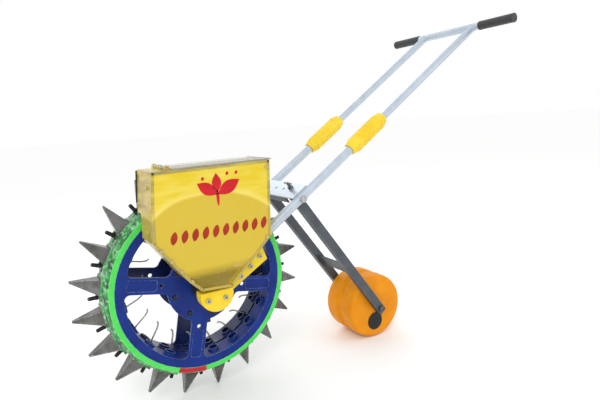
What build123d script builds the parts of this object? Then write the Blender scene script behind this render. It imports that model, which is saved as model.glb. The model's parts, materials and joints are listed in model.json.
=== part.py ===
from build123d import *
import os
from math import cos, radians, sin

os.makedirs("parts", exist_ok=True)

# Hand-pushed rolling dibble seeder. Millimetres, +Z up, +X to the rear (the handle end),
# -Y is the side that carries the seed hopper. Z = 0 is the ground.

# ---------------------------------------------------------------- driving dimensions
AXLE_X = -333.13           # drum axle, measured from the middle of the footprint
AXLE_Z = 294.02            # axle height that puts the lowest beak tip on the ground

# drum
RIM_R = 220.0              # outer radius at the side faces
DRUM_HALF = 53.0           # half the width over the side faces
WHEEL_R = 207.7            # outer radius of the blue halves
RING_R = 187.0             # inner radius of the drum ring
RING_WALL = 3.0
PLATE_T = 5.0
HUB_R = 90.0
SPOKE_W = 40.0
SPOKES = 4
BEAKS = 20
BEAK_STEP = 360.0 / BEAKS
BEAK_START = 5.85          # angle of the first beak tip
TREAD_R = 230.0            # crown of the green tread
TREAD_IN_R = 214.0
LIP_R = 208.0
LIP_T = 4.0
AXLE_R = 8.0
RUN = 0.05                 # radial clearance of every running fit

# beaks, in radius (r), tangential distance (t) and side distance (v)
TIP_R = 295.4
BEAK_ROOT_R = 224.0
BEAK_T0 = -9.0
BEAK_T1 = 32.0
BEAK_HALF = 22.0
BEAK_SHEET = 1.6
FLAP_T = 2.0
FLAP_GAP = 0.4
PIVOT_R = 221.0
PIVOT_T = 34.5
PIN_R = 2.0
BARREL_R = 4.5
BARREL_HALF = 19.9

# handle tubes
TUBE_Y = 100.9
TUBE_R = 12.5
TUBE_BORE = 11.0 + RUN
INNER_TUBE_R = 11.0
TUBE_ANGLE = 33.72
TUBE_Z0 = 6.3              # height of the tube line over the axle at the axle
GRIP_R = 12.6

# fork and rear roller
PIVOT_S = 317.4            # fork pivot, along the tube line
LEG_Y = 77.0
LEG_T = 20.0
LEG_W = 25.0
ROLLER_X = 534.0           # from the drum axle
ROLLER_Z = 97.53
ROLLER_R = 97.0
ROLLER_HALF = 64.0

# hopper outline, from the axle
HOPPER_FRONT = -150.0      # Y of the panel face
HOPPER_BACK = -60.0        # Y of the lower back wall
HOPPER_UPPER_BACK = -31.0  # Y of the back wall above the drum
ARCH_R = 238.5
HOPPER_WALL = 2.5
PANEL_T = 3.0
HOPPER_TOP = 296.5

METER_R = 18.0

SIDES = {"right": -1, "left": 1}

AXLE_LINE = Axis((AXLE_X, 0, AXLE_Z), (0, -1, 0))


def side_plane(y):
    """Sketch plane seen from the hopper side, origin on the drum axle, normal -Y."""
    return Plane(origin=(AXLE_X, y, AXLE_Z), x_dir=(1, 0, 0), z_dir=(0, -1, 0))


def radial_plane(r):
    """Plane square to the radius at angle 0; local x is tangential, local y is -Y."""
    return Plane(origin=(AXLE_X + r, 0, AXLE_Z), x_dir=(0, 0, 1), z_dir=(1, 0, 0))


def at(x, y, z):
    """A point given from the drum axle, in part coordinates."""
    return (AXLE_X + x, y, AXLE_Z + z)


def on_tube(s, y, lift=0.0):
    """A point on the handle tube line, s along it and lift square to it."""
    a = radians(TUBE_ANGLE)
    return at(s * cos(a) - lift * sin(a), y, TUBE_Z0 + s * sin(a) + lift * cos(a))


def tube_plane(s, y, lift=0.0):
    """Plane square to the handle tubes; local x is Y."""
    a = radians(TUBE_ANGLE)
    return Plane(origin=on_tube(s, y, lift), x_dir=(0, 1, 0), z_dir=(cos(a), 0, sin(a)))


def polar(r, angle):
    return (r * cos(radians(angle)), r * sin(radians(angle)))


def across(x, z, y0, y1, r):
    """A round bar along Y between y0 and y1."""
    return Solid.make_cylinder(r, y1 - y0, Plane(origin=at(x, y0, z), z_dir=(0, 1, 0)))


def block(dr, dt, dv, r, t, v=0.0):
    """A box in drum coordinates (radius, tangential, side) before it is turned into place."""
    return Solid.make_box(dr, dt, dv, Plane(origin=(r - dr / 2, t - dt / 2, v - dv / 2)))


def ball(x, y, z, r):
    return Solid.make_sphere(r, Plane(origin=(x, y, z)))


def turned_to(k, solid):
    """A solid in drum coordinates, moved to beak station k."""
    return side_plane(0).location * Rot(0, 0, BEAK_START + k * BEAK_STEP) * solid


def save(part, label):
    part.label = label
    export_step(part, "parts/" + label + ".step")


# ---------------------------------------------------------------- axle and hub
with BuildPart() as axle:
    add(across(0, 0, -139.0, 133.0, AXLE_R))
save(axle.part, "axle")

NUT_R = 13.0
NUT_T = 8.0
with BuildPart() as axle_nuts:
    for nut_y in (-105.0, 127.0):
        with BuildSketch(side_plane(nut_y)):
            RegularPolygon(NUT_R, 6)
            Circle(AXLE_R, mode=Mode.SUBTRACT)
        extrude(amount=NUT_T)
save(axle_nuts.part, "axle_nuts")

# hub brackets: a disc on the axle with an arm up to the handle tube
CAP_R = 40.0
BRACKET_T = 5.0
ARM_END_S = 235.0
right_outline = [(-37.6, 10.5), (36.0, 8.5), (43.2, 18.3), (146.0, 111.3), (158.0, 119.0), (166.0, 112.0),
                 (157.0, 101.0), (135.0, 83.0), (146.3, 50.4), (50.6, -4.6), (39.5, -6.0)]
bracket_y = TUBE_Y + TUBE_R
with BuildPart() as hub_bracket_right:
    with BuildSketch(side_plane(-bracket_y)):
        with BuildLine():
            Polyline(*right_outline, close=True)
        make_face()
        with BuildSketch(Plane.XY, mode=Mode.PRIVATE) as lower_disc:
            Circle(CAP_R)
            with Locations((0, CAP_R + 10.5)):
                Rectangle(3 * CAP_R, 2 * CAP_R, mode=Mode.SUBTRACT)
        add(lower_disc.sketch)
        Circle(AXLE_R, mode=Mode.SUBTRACT)
    extrude(amount=BRACKET_T)
save(hub_bracket_right.part, "hub_bracket_right")

with BuildPart() as hub_bracket_left:
    with BuildSketch(side_plane(bracket_y + BRACKET_T)):
        Circle(CAP_R)
        with Locations(Location((0, TUBE_Z0, 0), (0, 0, TUBE_ANGLE))):
            with Locations((ARM_END_S / 2, 0)):
                SlotOverall(ARM_END_S, 26.0)
        Circle(AXLE_R, mode=Mode.SUBTRACT)
    extrude(amount=BRACKET_T)
save(hub_bracket_left.part, "hub_bracket_left")

CAP_BACK = -(bracket_y + BRACKET_T)
CAP_T = 26.0
CAP_TOP = 10.5
with BuildPart() as hub_cap:
    with BuildSketch(side_plane(CAP_BACK)) as cap_face:
        Circle(CAP_R)
        with Locations((0, CAP_R + CAP_TOP)):
            Rectangle(3 * CAP_R, 2 * CAP_R, mode=Mode.SUBTRACT)
    extrude(amount=CAP_T)
    fillet(hub_cap.faces().sort_by(Axis.Y)[0].edges(), 3.0)
    with BuildSketch(side_plane(CAP_BACK)) as cap_bore:
        Circle(AXLE_R)
    extrude(amount=21.0, mode=Mode.SUBTRACT)
save(hub_cap.part, "hub_cap")

# button-head screws: two in the cap, four along the right arm
cap_screw_spots = [(-24.0, -8.0), (18.0, -9.0)]
arm_screw_spots = [(72.0, 22.0), (99.0, 41.0), (126.0, 61.0), (155.0, 109.5)]
HEAD_R = 5.5
HEAD_H = 4.0
with BuildPart() as bracket_screws:
    with BuildSketch(side_plane(CAP_BACK - CAP_T)):
        with Locations(*cap_screw_spots):
            Circle(HEAD_R)
    extrude(amount=HEAD_H)
    with BuildSketch(side_plane(-(bracket_y + BRACKET_T))):
        with Locations(*arm_screw_spots):
            Circle(HEAD_R)
    extrude(amount=HEAD_H)
save(bracket_screws.part, "bracket_screws")

# ---------------------------------------------------------------- handle tubes and sleeves
LOWER_S0 = 187.0
LOWER_S1 = 640.0
UPPER_S0 = 530.0
CRIMP_BORE = 9.0
SLEEVE_S0 = 519.0
SLEEVE_S1 = 662.0
SLEEVE_R = 23.5
SLEEVE_END_R = 17.5
SLEEVE_TAPER = 22.0
SLEEVE_CLEAR = 0.35
RIB_R = 24.0
RIB_T = 5.0
RIBS = 6

for side, sign in SIDES.items():
    y = sign * TUBE_Y
    with BuildPart() as sleeve:
        for s, r in ((SLEEVE_S0, SLEEVE_END_R), (SLEEVE_S0 + SLEEVE_TAPER, SLEEVE_R)):
            with BuildSketch(tube_plane(s, y)):
                RegularPolygon(r, 8)
        loft()
        with BuildSketch(tube_plane(SLEEVE_S0 + SLEEVE_TAPER, y)):
            RegularPolygon(SLEEVE_R, 8)
        extrude(amount=SLEEVE_S1 - SLEEVE_S0 - 2 * SLEEVE_TAPER)
        for s, r in ((SLEEVE_S1 - SLEEVE_TAPER, SLEEVE_R), (SLEEVE_S1, SLEEVE_END_R)):
            with BuildSketch(tube_plane(s, y)):
                RegularPolygon(r, 8)
        loft()
        span = SLEEVE_S1 - SLEEVE_S0 - 2 * SLEEVE_TAPER - RIB_T
        for i in range(RIBS):
            with BuildSketch(tube_plane(SLEEVE_S0 + SLEEVE_TAPER + i * span / (RIBS - 1), y)):
                RegularPolygon(RIB_R, 8)
            extrude(amount=RIB_T)
        with BuildSketch(tube_plane(SLEEVE_S0 - 1.0, y)):
            Circle(TUBE_R)
        extrude(amount=LOWER_S1 - SLEEVE_S0 + 1.0, mode=Mode.SUBTRACT)
        with BuildSketch(tube_plane(LOWER_S1 - 1.0, y)):
            Circle(INNER_TUBE_R + SLEEVE_CLEAR)
        extrude(amount=SLEEVE_S1 - LOWER_S1 + 5.0, mode=Mode.SUBTRACT)
    save(sleeve.part, "sleeve_" + side)

# upper handle: two tubes coped to a crossbar, a grip on each end
CROSS_S = 1134.8
BAR_HALF = 240.0
GRIP_Y0 = 126.9
GRIP_Y1 = 245.3
GRIP_FLANGE = 0.8
GRIP_FLANGE_T = 5.0
CROSS = on_tube(CROSS_S, 0)
CROSS_BAR_R = 11.0

for side, sign in SIDES.items():
    y = sign * TUBE_Y
    with BuildPart() as upper_tube:
        with BuildSketch(tube_plane(UPPER_S0, y)):
            Circle(INNER_TUBE_R)
            Circle(INNER_TUBE_R - 1.5, mode=Mode.SUBTRACT)
        extrude(amount=CROSS_S - UPPER_S0)
        add(Solid.make_cylinder(CROSS_BAR_R, 2 * BAR_HALF,
            Plane(origin=(CROSS[0], -BAR_HALF, CROSS[2]), z_dir=(0, 1, 0))), mode=Mode.SUBTRACT)
    save(upper_tube.part.solids().sort_by(SortBy.VOLUME)[-1], "upper_tube_" + side)

with BuildPart() as crossbar:
    with BuildSketch(Plane(origin=(CROSS[0], BAR_HALF, CROSS[2]), x_dir=(1, 0, 0), z_dir=(0, -1, 0))):
        Circle(CROSS_BAR_R)
        Circle(CROSS_BAR_R - 1.5, mode=Mode.SUBTRACT)
    extrude(amount=2 * BAR_HALF)
save(crossbar.part, "crossbar")

for side, sign in SIDES.items():
    with BuildPart() as grip:
        base = Plane(origin=(CROSS[0], sign * GRIP_Y0, CROSS[2]), x_dir=(1, 0, 0), z_dir=(0, sign, 0))
        with BuildSketch(base):
            Circle(GRIP_R)
        extrude(amount=GRIP_Y1 - GRIP_Y0)
        for shift in (0.0, GRIP_Y1 - GRIP_Y0 - GRIP_FLANGE_T):
            with BuildSketch(base.offset(shift)):
                Circle(GRIP_R + GRIP_FLANGE)
            extrude(amount=GRIP_FLANGE_T)
        with BuildSketch(base):
            Circle(CROSS_BAR_R)
        extrude(amount=BAR_HALF - GRIP_Y0, mode=Mode.SUBTRACT)
    save(grip.part, "grip_" + side)

# ---------------------------------------------------------------- cross plate, stop screw, fork pivots
PLATE_HALF = TUBE_Y
PLATE_S0 = 300.0
PLATE_S1 = 352.0
PLATE_LIFT = TUBE_R
CROSS_T = 4.0
SKIRT = 18.0
SKIRT_HALF = 60.0
SPARE_HOLE_Y = 20.0
SPARE_HOLE_S = 326.0
SPARE_HOLE_R = 4.25
SCREW_S = 334.0
SCREW_Y = -48.0
SCREW_R = 4.0
along = (cos(radians(TUBE_ANGLE)), 0, sin(radians(TUBE_ANGLE)))
square = (-along[2], 0, along[0])
face = Plane(origin=on_tube(PLATE_S0, 0, PLATE_LIFT), x_dir=along, z_dir=square)
with BuildPart() as cross_plate:
    with BuildSketch(face):
        with Locations(((PLATE_S1 - PLATE_S0) / 2, 0)):
            Rectangle(PLATE_S1 - PLATE_S0, 2 * PLATE_HALF)
        with Locations((SPARE_HOLE_S - PLATE_S0, SPARE_HOLE_Y), (SPARE_HOLE_S - PLATE_S0, -SPARE_HOLE_Y)):
            Circle(SPARE_HOLE_R, mode=Mode.SUBTRACT)
        with Locations((SCREW_S - PLATE_S0, SCREW_Y)):
            Circle(SCREW_R, mode=Mode.SUBTRACT)
    extrude(amount=CROSS_T)
save(cross_plate.part, "cross_plate")

with BuildPart() as plate_skirt:
    with BuildSketch(face):
        with Locations((CROSS_T / 2, 0)):
            Rectangle(CROSS_T, 2 * SKIRT_HALF)
    extrude(amount=-SKIRT)
save(plate_skirt.part, "plate_skirt")

SCREW_LOW = -8.0
SCREW_LONG = 44.0
with BuildPart() as adjust_screw:
    screw_base = Plane(origin=on_tube(SCREW_S, SCREW_Y, SCREW_LOW), x_dir=along, z_dir=square)
    with BuildSketch(screw_base):
        Circle(SCREW_R)
    extrude(amount=SCREW_LONG)
    with BuildSketch(screw_base.offset(-SCREW_LOW + PLATE_LIFT + CROSS_T)):
        RegularPolygon(8.0, 6)
    extrude(amount=6.0)
    bar = screw_base.offset(SCREW_LONG - 3.0)
    add(Solid.make_cylinder(2.5, 32.0, Plane(origin=bar.origin - bar.y_dir * 16.0, z_dir=bar.y_dir)))
save(adjust_screw.part, "adjust_screw")

PIVOT = on_tube(PIVOT_S, 0)
PIVOT_BOLT_R = 5.0
with BuildPart() as fork_pivots:
    for sign in (-1, 1):
        y_in = sign * (LEG_Y - LEG_T / 2 - 7.0)
        y_out = sign * (TUBE_Y + TUBE_R + 8.0)
        with BuildSketch(Plane(origin=(PIVOT[0], y_in, PIVOT[2]), x_dir=(1, 0, 0), z_dir=(0, sign, 0))):
            Circle(PIVOT_BOLT_R)
        extrude(amount=abs(y_out - y_in))
        for y_head, depth in ((y_in, 6.0), (sign * (TUBE_Y + TUBE_R), 8.0)):
            with BuildSketch(Plane(origin=(PIVOT[0], y_head, PIVOT[2]), x_dir=(1, 0, 0), z_dir=(0, sign, 0))):
                RegularPolygon(9.5, 6)
            extrude(amount=depth)
save(fork_pivots.part, "fork_pivots")

# the lower tubes are drilled through for the pivot bolts
for side, sign in SIDES.items():
    y = sign * TUBE_Y
    with BuildPart() as lower_tube:
        with BuildSketch(tube_plane(LOWER_S0, y)):
            Circle(TUBE_R)
            Circle(TUBE_BORE, mode=Mode.SUBTRACT)
        extrude(amount=LOWER_S1 - LOWER_S0)
        with BuildSketch(tube_plane(UPPER_S0 - 8.3, y)):
            Circle(TUBE_BORE + 0.5)
            Circle(CRIMP_BORE, mode=Mode.SUBTRACT)
        extrude(amount=8.0)
        with BuildSketch(Plane(origin=(PIVOT[0], y - 20.0, PIVOT[2]), x_dir=(1, 0, 0), z_dir=(0, 1, 0))):
            Circle(PIVOT_BOLT_R)
        extrude(amount=40.0, mode=Mode.SUBTRACT)
    save(lower_tube.part, "lower_tube_" + side)

# ---------------------------------------------------------------- fork
LEG_TOP = 10.0
LEG_WALL = 2.0
ROLLER_AXLE_R = 6.0
pivot_vec = Vector(PIVOT[0], 0, PIVOT[2])
roller_vec = Vector(AXLE_X + ROLLER_X, 0, ROLLER_Z)
leg_dir = (roller_vec - pivot_vec).normalized()
leg_len = (roller_vec - pivot_vec).length
for side, sign in SIDES.items():
    with BuildPart() as leg:
        start = pivot_vec - leg_dir * LEG_TOP + Vector(0, sign * LEG_Y, 0)
        with BuildSketch(Plane(origin=start, x_dir=(0, 1, 0), z_dir=leg_dir)):
            Rectangle(LEG_T, LEG_W)
            Rectangle(LEG_T - 2 * LEG_WALL, LEG_W - 2 * LEG_WALL, mode=Mode.SUBTRACT)
        extrude(amount=leg_len + LEG_TOP + 14.0)
        with BuildSketch(Plane(origin=(PIVOT[0], sign * LEG_Y - 15.0, PIVOT[2]), x_dir=(1, 0, 0), z_dir=(0, 1, 0))):
            Circle(PIVOT_BOLT_R + RUN)
        extrude(amount=30.0, mode=Mode.SUBTRACT)
        with BuildSketch(Plane(origin=(AXLE_X + ROLLER_X, sign * LEG_Y - 15.0, ROLLER_Z), x_dir=(1, 0, 0),
                               z_dir=(0, 1, 0))):
            Circle(ROLLER_AXLE_R)
        extrude(amount=30.0, mode=Mode.SUBTRACT)
    save(leg.part, "fork_leg_" + side)

BRACE_S = 291.0
BRACE_W = 46.0
BRACE_T = 3.0
brace_half = LEG_Y - LEG_T / 2
with BuildPart() as fork_brace:
    brace_mid = pivot_vec + leg_dir * BRACE_S
    leg_normal = Vector(0, 1, 0).cross(leg_dir)
    with BuildSketch(Plane(origin=brace_mid, x_dir=(0, 1, 0), z_dir=leg_normal)):
        Rectangle(2 * brace_half, BRACE_W)
    extrude(amount=BRACE_T / 2, both=True)
    low = brace_mid + leg_dir * (BRACE_W / 2 - BRACE_T / 2)
    with BuildSketch(Plane(origin=low, x_dir=(0, 1, 0), z_dir=leg_dir)):
        with Locations((0, 9.0)):
            Rectangle(2 * brace_half, 18.0)
    extrude(amount=BRACE_T / 2, both=True)
save(fork_brace.part, "fork_brace")

with BuildPart() as roller_axle:
    add(across(ROLLER_X, ROLLER_Z - AXLE_Z, -(LEG_Y + LEG_T / 2 + 3.0), LEG_Y + LEG_T / 2 + 3.0, ROLLER_AXLE_R))
    for sign in (-1, 1):
        with BuildSketch(Plane(origin=(AXLE_X + ROLLER_X, sign * (LEG_Y + LEG_T / 2), ROLLER_Z), x_dir=(1, 0, 0),
                               z_dir=(0, sign, 0))):
            RegularPolygon(10.0, 6)
        extrude(amount=5.0)
save(roller_axle.part, "roller_axle")

# blow-moulded roller: two lobes with a waist between them, hollow
WAIST_R = 89.0
END_R = 87.0
SHELL_T = 3.0
PLUG_X = -7.0
PLUG_Z = -45.0
PLUG_R = 27.0
PLUG_NECK_R = 20.0


def roller_profile(inset):
    """Half section of the roller, inset from the outside; x along the axle, y the radius."""
    h = ROLLER_HALF - inset
    crown = h / 2
    half = [(h, END_R), (h - 3.0, ROLLER_R - 3.6), (h - 10.0, ROLLER_R - 0.8), (crown, ROLLER_R),
            (12.0, ROLLER_R - 1.5)]
    left = [(-x, r - inset) for x, r in half]
    return left + [(0.0, WAIST_R - inset)] + [(x, r - inset) for x, r in reversed(half)]


roller_section = Plane(origin=(AXLE_X + ROLLER_X, 0, ROLLER_Z), x_dir=(0, 1, 0), z_dir=(1, 0, 0))
roller_line = Axis((AXLE_X + ROLLER_X, 0, ROLLER_Z), (0, 1, 0))
with BuildPart() as roller_shell:
    for inset, mode in ((0.0, Mode.ADD), (SHELL_T, Mode.SUBTRACT)):
        h = ROLLER_HALF - inset
        pts = roller_profile(inset)
        with BuildSketch(roller_section):
            with BuildLine():
                Spline(*pts)
                Line(pts[-1], (h, 0))
                Line((h, 0), (-h, 0))
                Line((-h, 0), pts[0])
            make_face()
        revolve(axis=roller_line, mode=mode)
    add(across(ROLLER_X, ROLLER_Z - AXLE_Z, -ROLLER_HALF, ROLLER_HALF, 14.0))
    add(across(ROLLER_X, ROLLER_Z - AXLE_Z, -ROLLER_HALF - 1, ROLLER_HALF + 1, ROLLER_AXLE_R + RUN),
        mode=Mode.SUBTRACT)
    add(across(ROLLER_X + PLUG_X, ROLLER_Z - AXLE_Z + PLUG_Z, -ROLLER_HALF - 1, -ROLLER_HALF + 6.0, PLUG_NECK_R),
        mode=Mode.SUBTRACT)
save(roller_shell.part, "roller_shell")

with BuildPart() as roller_plug:
    add(across(ROLLER_X + PLUG_X, ROLLER_Z - AXLE_Z + PLUG_Z, -ROLLER_HALF - 2.0, -ROLLER_HALF, PLUG_R))
    add(across(ROLLER_X + PLUG_X, ROLLER_Z - AXLE_Z + PLUG_Z, -ROLLER_HALF, -ROLLER_HALF + 6.0, PLUG_NECK_R))
save(roller_plug.part, "roller_plug")

# ---------------------------------------------------------------- drum halves
CUP_R = 14.0
CUP_WALL = 3.0
CUP_IN_R = 181.0
CUP_V = 22.0
TAIL_SLOT = 4.0            # half of the slit between the halves, where the flap tails swing
PANEL_DEPTH = 2.0
BOLT_CIRCLE = 75.0
HUB_BOLTS = 8
BOLT_R = 3.0
FEED_R = 24.0
SPOKE_HOLE_R = 5.0
SPOKE_HOLE_AT = 104.0


def window_sketch():
    """The openings between the spokes."""
    Circle(RING_R)
    Circle(HUB_R, mode=Mode.SUBTRACT)
    for k in range(SPOKES):
        angle = BEAK_START + 72.0 + k * 90.0
        with Locations(Location((*polar(RING_R / 2 + 20, angle), 0), (0, 0, angle))):
            Rectangle(RING_R + 60.0, SPOKE_W, mode=Mode.SUBTRACT)


with BuildSketch(Plane.XY) as openings:
    window_sketch()
    fillet(openings.vertices(), 12.0)

for side, sign in SIDES.items():
    bore_r = FEED_R + RUN if sign < 0 else AXLE_R + RUN
    with BuildPart() as half:
        with BuildSketch(side_plane(sign * DRUM_HALF)):
            Circle(WHEEL_R)
            add(openings.sketch, mode=Mode.SUBTRACT)
        extrude(amount=sign * PLATE_T)
        with BuildSketch(side_plane(sign * (DRUM_HALF - PLATE_T + 0.01))):
            Circle(TREAD_IN_R - 0.1)
            Circle(WHEEL_R - 8.0, mode=Mode.SUBTRACT)
        extrude(amount=sign * PLATE_T)
        with BuildSketch(side_plane(sign * (DRUM_HALF - 1.0))):
            Circle(RING_R + RING_WALL)
            Circle(RING_R, mode=Mode.SUBTRACT)
        extrude(amount=sign * (DRUM_HALF - 1.0 - TAIL_SLOT))
        with BuildSketch(side_plane(sign * (DRUM_HALF - 1.0))):
            Circle(34.0)
        extrude(amount=sign * 12.0)
        cup = Solid.make_cylinder(CUP_R, RING_R + 1.5 - CUP_IN_R,
                                  Plane(origin=(CUP_IN_R, 0, -sign * CUP_V), z_dir=(1, 0, 0)))
        add([turned_to(k, cup) for k in range(BEAKS)])
        well = Solid.make_cylinder(CUP_R - CUP_WALL, 16.0,
                                   Plane(origin=(CUP_IN_R - 2.0, 0, -sign * CUP_V), z_dir=(1, 0, 0)))
        add([turned_to(k, well) for k in range(BEAKS)], mode=Mode.SUBTRACT)
        with BuildSketch(side_plane(sign * (DRUM_HALF + 1.0))):
            Circle(bore_r)
        extrude(amount=sign * 40.0, mode=Mode.SUBTRACT)
        with BuildSketch(side_plane(sign * DRUM_HALF)):
            for k in range(SPOKES):
                angle = BEAK_START + 72.0 + k * 90.0
                with Locations(Location((*polar(148.0, angle), 0), (0, 0, angle))):
                    RectangleRounded(68.0, SPOKE_W - 14.0, 5.0)
            with PolarLocations(BOLT_CIRCLE, HUB_BOLTS, BEAK_START + 5.0):
                Circle(7.5)
        extrude(amount=sign * PANEL_DEPTH, mode=Mode.SUBTRACT)
        with BuildSketch(side_plane(sign * DRUM_HALF)):
            with PolarLocations(BOLT_CIRCLE, HUB_BOLTS, BEAK_START + 5.0):
                Circle(BOLT_R)
            with PolarLocations(SPOKE_HOLE_AT, SPOKES, BEAK_START + 72.0):
                Circle(SPOKE_HOLE_R)
        extrude(amount=sign * 30.0, mode=Mode.SUBTRACT)
    save(half.part, "wheel_half_" + side)

with BuildPart() as hub_bolts:
    for sign in SIDES.values():
        seat = sign * (DRUM_HALF - PANEL_DEPTH)
        with BuildSketch(side_plane(seat)):
            with PolarLocations(BOLT_CIRCLE, HUB_BOLTS, BEAK_START + 5.0):
                RegularPolygon(6.0, 6)
        extrude(amount=-sign * 4.0)
        with BuildSketch(side_plane(seat)):
            with PolarLocations(BOLT_CIRCLE, HUB_BOLTS, BEAK_START + 5.0):
                Circle(BOLT_R)
        extrude(amount=sign * 8.0)
save(hub_bolts.part, "hub_bolts")

# ---------------------------------------------------------------- beak shells and flaps
def beak_loft(root_r, t0, t1, half, tip_r, tip_t0, tip_t1, tip_half):
    """A tapering beak between a root rectangle and a tip rectangle."""
    with BuildPart(mode=Mode.PRIVATE) as taper:
        for r, a0, a1, b in ((root_r, t0, t1, half), (tip_r, tip_t0, tip_t1, tip_half)):
            with BuildSketch(radial_plane(r)):
                with Locations(((a0 + a1) / 2, 0)):
                    Rectangle(a1 - a0, 2 * b)
        loft()
    return taper.part


def side_prism(points, half):
    """A prism through the beak, from a polygon in radius and tangential distance."""
    with BuildPart(mode=Mode.PRIVATE) as prism:
        with BuildSketch(side_plane(0)):
            with BuildLine():
                Polyline(*points, close=True)
            make_face()
        extrude(amount=half, both=True)
    return prism.part


edge = Vector(TIP_R - BEAK_ROOT_R, 2.5 - BEAK_T1).normalized()
inward = Vector(edge.Y, -edge.X)


def seam_prism(depth):
    """Everything on the flap side of a line set in from the sloping face by depth."""
    root = Vector(BEAK_ROOT_R, BEAK_T1) + inward * depth - edge * 20.0
    tip = Vector(TIP_R, 2.5) + inward * depth + edge * 20.0
    return side_prism([(root.X, root.Y), (tip.X, tip.Y), (tip.X, 80.0), (root.X, 80.0)], 40.0)


outer_beak = beak_loft(BEAK_ROOT_R, BEAK_T0, BEAK_T1, BEAK_HALF, TIP_R, -1.5, 2.5, 3.5)
s = BEAK_SHEET
inner_beak = beak_loft(BEAK_ROOT_R - 0.5, BEAK_T0 + s, BEAK_T1, BEAK_HALF - s, TIP_R - 6.0, -0.6, 2.5, 2.4)
COLLAR_R0 = 216.5
EAR_T = 2.2
with BuildPart() as beak_shell:
    add(outer_beak - inner_beak - seam_prism(FLAP_T + FLAP_GAP))
    with BuildSketch(radial_plane(COLLAR_R0)):
        with Locations(((BEAK_T0 + 29.5) / 2, 0)):
            Rectangle(29.5 - BEAK_T0, 2 * BEAK_HALF)
            Rectangle(29.5 - BEAK_T0 - 2 * s, 2 * (BEAK_HALF - s), mode=Mode.SUBTRACT)
    extrude(amount=BEAK_ROOT_R - COLLAR_R0)
    for sign in (-1, 1):
        with BuildSketch(side_plane(sign * BEAK_HALF)):
            with Locations((PIVOT_R, PIVOT_T)):
                Circle(5.0)
            with BuildLine():
                Polyline((COLLAR_R0, 26.0), (BEAK_ROOT_R, 26.0), (PIVOT_R + 4.6, PIVOT_T + 1.6),
                         (PIVOT_R - 4.5, PIVOT_T + 1.6), close=True)
            make_face()
            with Locations((PIVOT_R, PIVOT_T)):
                Circle(PIN_R + RUN, mode=Mode.SUBTRACT)
        extrude(amount=sign * (BEAK_HALF - 20.2))
    add(side_prism([(COLLAR_R0 - 1, 24.0), (BEAK_ROOT_R + 0.5, 24.0), (BEAK_ROOT_R + 0.5, 29.8),
                    (COLLAR_R0 - 1, 29.8)], 6.0), mode=Mode.SUBTRACT)

with BuildPart() as beak_shells:
    for k in range(BEAKS):
        add(beak_shell.part.rotate(AXLE_LINE, BEAK_START + k * BEAK_STEP))
save(beak_shells.part, "beak_shells")

TAPPET_R = 4.0
TAPPET_TIP = (252.0, 41.0)
TAIL_R = 2.0
tail_points = [(PIVOT_R, PIVOT_T), (178.0, 8.5), (148.0, -0.5), (138.5, -5.5), (136.0, -10.5)]
with BuildPart() as flap:
    blade = outer_beak & seam_prism(FLAP_T)
    for sign in (-1, 1):
        trim = block(22.0, 20.0, 20.2, PIVOT_R, PIVOT_T - 2.0, sign * (BARREL_HALF + 10.1))
        blade = blade - side_plane(0).location * trim
    add(blade)
    with BuildSketch(side_plane(BARREL_HALF)):
        with Locations((PIVOT_R, PIVOT_T)):
            Circle(BARREL_R)
        with BuildLine():
            Polyline((PIVOT_R, 30.0), (224.6, 29.95), (228.5, 28.7), (229.5, 29.8),
                     (PIVOT_R + 2.0, PIVOT_T + 3.0), close=True)
        make_face()
    extrude(amount=2 * BARREL_HALF)
    with BuildSketch(side_plane(BEAK_HALF + 1.0)):
        with Locations((PIVOT_R, PIVOT_T)):
            Circle(PIN_R)
    extrude(amount=2 * (BEAK_HALF + 1.0))
    start = Vector(AXLE_X + PIVOT_R, 0, AXLE_Z + PIVOT_T)
    tip = Vector(AXLE_X + TAPPET_TIP[0], 0, AXLE_Z + TAPPET_TIP[1])
    add(Solid.make_cylinder(TAPPET_R, (tip - start).length, Plane(origin=start, z_dir=tip - start)))
    for p, q in zip(tail_points[:-1], tail_points[1:]):
        a3 = Vector(AXLE_X + p[0], 0, AXLE_Z + p[1])
        b3 = Vector(AXLE_X + q[0], 0, AXLE_Z + q[1])
        add(Solid.make_cylinder(TAIL_R, (b3 - a3).length, Plane(origin=a3, z_dir=b3 - a3)))
        add(ball(b3.X, b3.Y, b3.Z, TAIL_R))

for k in range(BEAKS):
    turned = flap.part.rotate(AXLE_LINE, BEAK_START + k * BEAK_STEP)
    save(turned.solid(), "flap_" + str(k + 1).zfill(2))

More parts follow.
